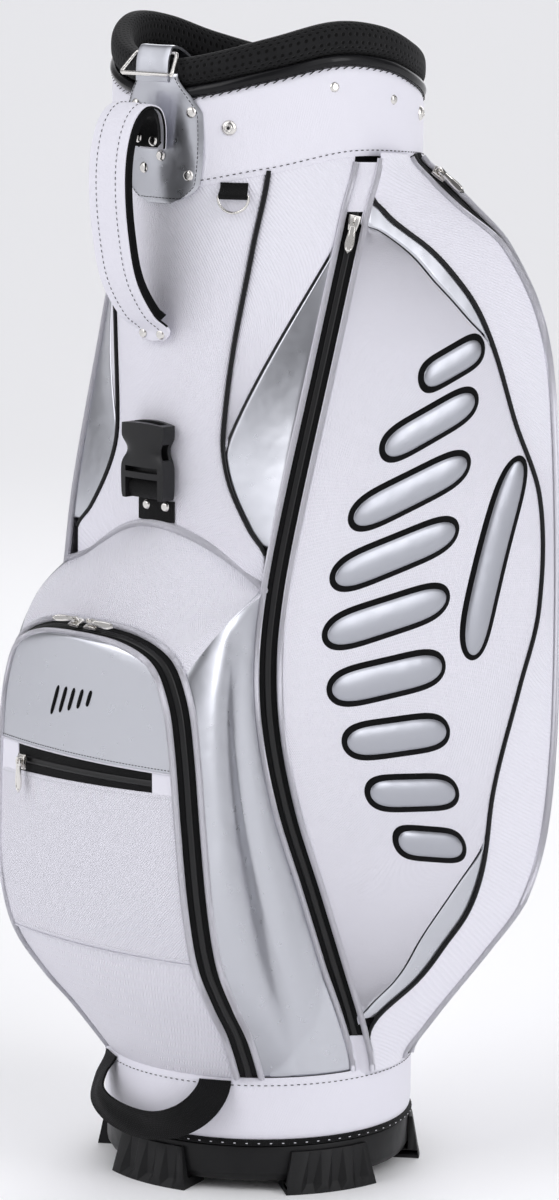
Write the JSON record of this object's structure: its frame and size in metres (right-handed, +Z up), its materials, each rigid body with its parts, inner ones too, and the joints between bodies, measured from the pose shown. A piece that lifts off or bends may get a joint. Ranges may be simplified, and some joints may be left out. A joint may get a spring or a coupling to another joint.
{
  "type": "golf staff bag",
  "caption": "Upright golf staff bag: round club tube with divided mouth, padded collar, zipped side and ball pockets, carry handle, ribbed base.",
  "frame": {"origin": "on the floor, under the middle of the bag's box", "axes": "+Z up, ball pocket and handle towards -Y, side pockets towards +X and -X"},
  "size_m": [0.3666, 0.3662, 0.9095],
  "materials": {
    "base_plastic": "satin",
    "base_rubber": "matt",
    "black_webbing": "woven",
    "zip_tape": "woven",
    "white_leather": "semi-gloss, fine grain",
    "white_twill": "semi-gloss, embossed twill",
    "silver_leather": "metallic sheen",
    "core_board": "matt",
    "divider_cloth": "brushed",
    "gloss_piping": "gloss",
    "collar_mesh": "air mesh",
    "black_plastic": "fine matt",
    "nickel": "polished"
  },
  "bodies": {
    "bag": {"base_tray": "base_plastic", "foot_1": "base_rubber", "foot_2": "base_rubber", "foot_3": "base_rubber", "foot_4": "base_rubber", "foot_5": "base_rubber", "base_binding": "black_webbing", "bottom_cuff": "white_leather", "body_tube": "core_board", "divider_frame": "divider_cloth", "divider_curtains": "divider_cloth", "top_cuff": "white_leather", "collar_piping": "gloss_piping", "collar_pad": "collar_mesh", "front_panel": "white_twill", "back_panel": "white_twill", "right_front_gusset": "white_twill", "right_front_zip": "zip_tape", "right_side_panel": "white_twill", "right_side_gusset": "white_twill", "right_back_zip": "zip_tape", "right_back_gusset": "white_twill", "left_front_gusset": "white_twill", "left_front_zip": "zip_tape", "left_side_panel": "white_twill", "left_side_gusset": "white_twill", "left_back_zip": "zip_tape", "left_back_gusset": "white_twill", "ball_face": "white_twill", "ball_zip": "zip_tape", "ball_shoulder": "white_twill", "ball_side_right": "silver_leather", "ball_side_left": "silver_leather", "face_zip": "zip_tape", "yoke_patch": "silver_leather", "yoke_tab": "silver_leather", "handle": "white_leather", "handle_pad": "collar_mesh", "buckle_webbing": "black_webbing", "towel_loop": "black_webbing"},
    "strap_ring": {"strap_ring": "nickel"},
    "towel_ring": {"towel_ring": "nickel"},
    "buckle": {"buckle": "black_plastic"},
    "grab_loop": {"grab_loop": "black_webbing"},
    "right_front_slider": {"right_front_slider": "nickel"},
    "right_front_puller": {"right_front_puller": "nickel"},
    "left_front_slider": {"left_front_slider": "nickel"},
    "left_front_puller": {"left_front_puller": "nickel"},
    "right_back_slider": {"right_back_slider": "nickel"},
    "right_back_puller": {"right_back_puller": "nickel"},
    "left_back_slider": {"left_back_slider": "nickel"},
    "left_back_puller": {"left_back_puller": "nickel"},
    "ball_right_slider": {"ball_right_slider": "nickel"},
    "ball_right_puller": {"ball_right_puller": "nickel"},
    "ball_left_slider": {"ball_left_slider": "nickel"},
    "ball_left_puller": {"ball_left_puller": "nickel"},
    "face_slider": {"face_slider": "nickel"},
    "face_puller": {"face_puller": "nickel"}
  },
  "joints": [
    {"name": "strap_ring_swing", "type": "hinge", "parent": "bag", "child": "strap_ring", "pos_m": [0, -0.0935, 0.8836], "axis": [-1, 0, 0], "range_deg": [0, 100]},
    {"name": "towel_ring_swing", "type": "hinge", "parent": "bag", "child": "towel_ring", "pos_m": [0.06523, -0.07649, 0.7785], "axis": [-0.848, -0.5299, 0], "range_deg": [0, 100]},
    {"name": "buckle_flex", "type": "hinge", "parent": "bag", "child": "buckle", "pos_m": [0, -0.0933, 0.5412], "axis": [1, 0, 0], "range_deg": [0, 70]},
    {"name": "grab_loop_lift", "type": "hinge", "parent": "bag", "child": "grab_loop", "pos_m": [0, -0.0877, 0.09], "axis": [-1, 0, 0], "range_deg": [0, 45]},
    {"name": "right_front_zip_travel", "type": "slide", "parent": "bag", "child": "right_front_slider", "axis": [-0.0287, -0.2635, -0.9642], "range_m": [0, 0.2]},
    {"name": "right_front_puller_swing", "type": "hinge", "parent": "right_front_slider", "child": "right_front_puller", "pos_m": [0.12792, -0.00907, 0.76022], "axis": [-0.6914, -0.6914, 0.2096], "range_deg": [0, 120]},
    {"name": "left_front_zip_travel", "type": "slide", "parent": "bag", "child": "left_front_slider", "axis": [0.0287, -0.2635, -0.9642], "range_m": [0, 0.2]},
    {"name": "left_front_puller_swing", "type": "hinge", "parent": "left_front_slider", "child": "left_front_puller", "pos_m": [-0.12792, -0.00907, 0.76022], "axis": [-0.6914, 0.6914, -0.2096], "range_deg": [0, 120]},
    {"name": "right_back_zip_travel", "type": "slide", "parent": "bag", "child": "right_back_slider", "axis": [0.4025, 0.6207, -0.6729], "range_m": [0, 0.022]},
    {"name": "right_back_puller_swing", "type": "hinge", "parent": "right_back_slider", "child": "right_back_puller", "pos_m": [0.12651, 0.08855, 0.79338], "axis": [0.31, -0.784, -0.5378], "range_deg": [0, 120]},
    {"name": "left_back_zip_travel", "type": "slide", "parent": "bag", "child": "left_back_slider", "axis": [-0.4025, 0.6207, -0.6729], "range_m": [0, 0.022]},
    {"name": "left_back_puller_swing", "type": "hinge", "parent": "left_back_slider", "child": "left_back_puller", "pos_m": [-0.12651, 0.08855, 0.79338], "axis": [0.31, 0.784, 0.5378], "range_deg": [0, 120]},
    {"name": "ball_right_zip_travel", "type": "slide", "parent": "bag", "child": "ball_right_slider", "axis": [0.9982, 0, -0.0599], "range_m": [0, 0.035]},
    {"name": "ball_right_puller_swing", "type": "hinge", "parent": "ball_right_slider", "child": "ball_right_puller", "pos_m": [0.00731, -0.16994, 0.45551], "axis": [-0.0263, -0.8981, -0.4391], "range_deg": [0, 120]},
    {"name": "ball_left_zip_travel", "type": "slide", "parent": "bag", "child": "ball_left_slider", "axis": [-0.9982, 0, -0.0599], "range_m": [0, 0.035]},
    {"name": "ball_left_puller_swing", "type": "hinge", "parent": "ball_left_slider", "child": "ball_left_puller", "pos_m": [-0.00731, -0.16994, 0.45551], "axis": [-0.0263, 0.8981, 0.4391], "range_deg": [0, 120]},
    {"name": "face_zip_travel", "type": "hinge", "parent": "bag", "child": "face_slider", "pos_m": [0, 0.24397, 0.338], "axis": [0, 0, 1], "range_deg": [0, 18.5]},
    {"name": "face_puller_swing", "type": "hinge", "parent": "face_slider", "child": "face_puller", "pos_m": [-0.0608, -0.17935, 0.34], "axis": [-0.9903, 0.1387, 0], "range_deg": [0, 120]}
  ]
}
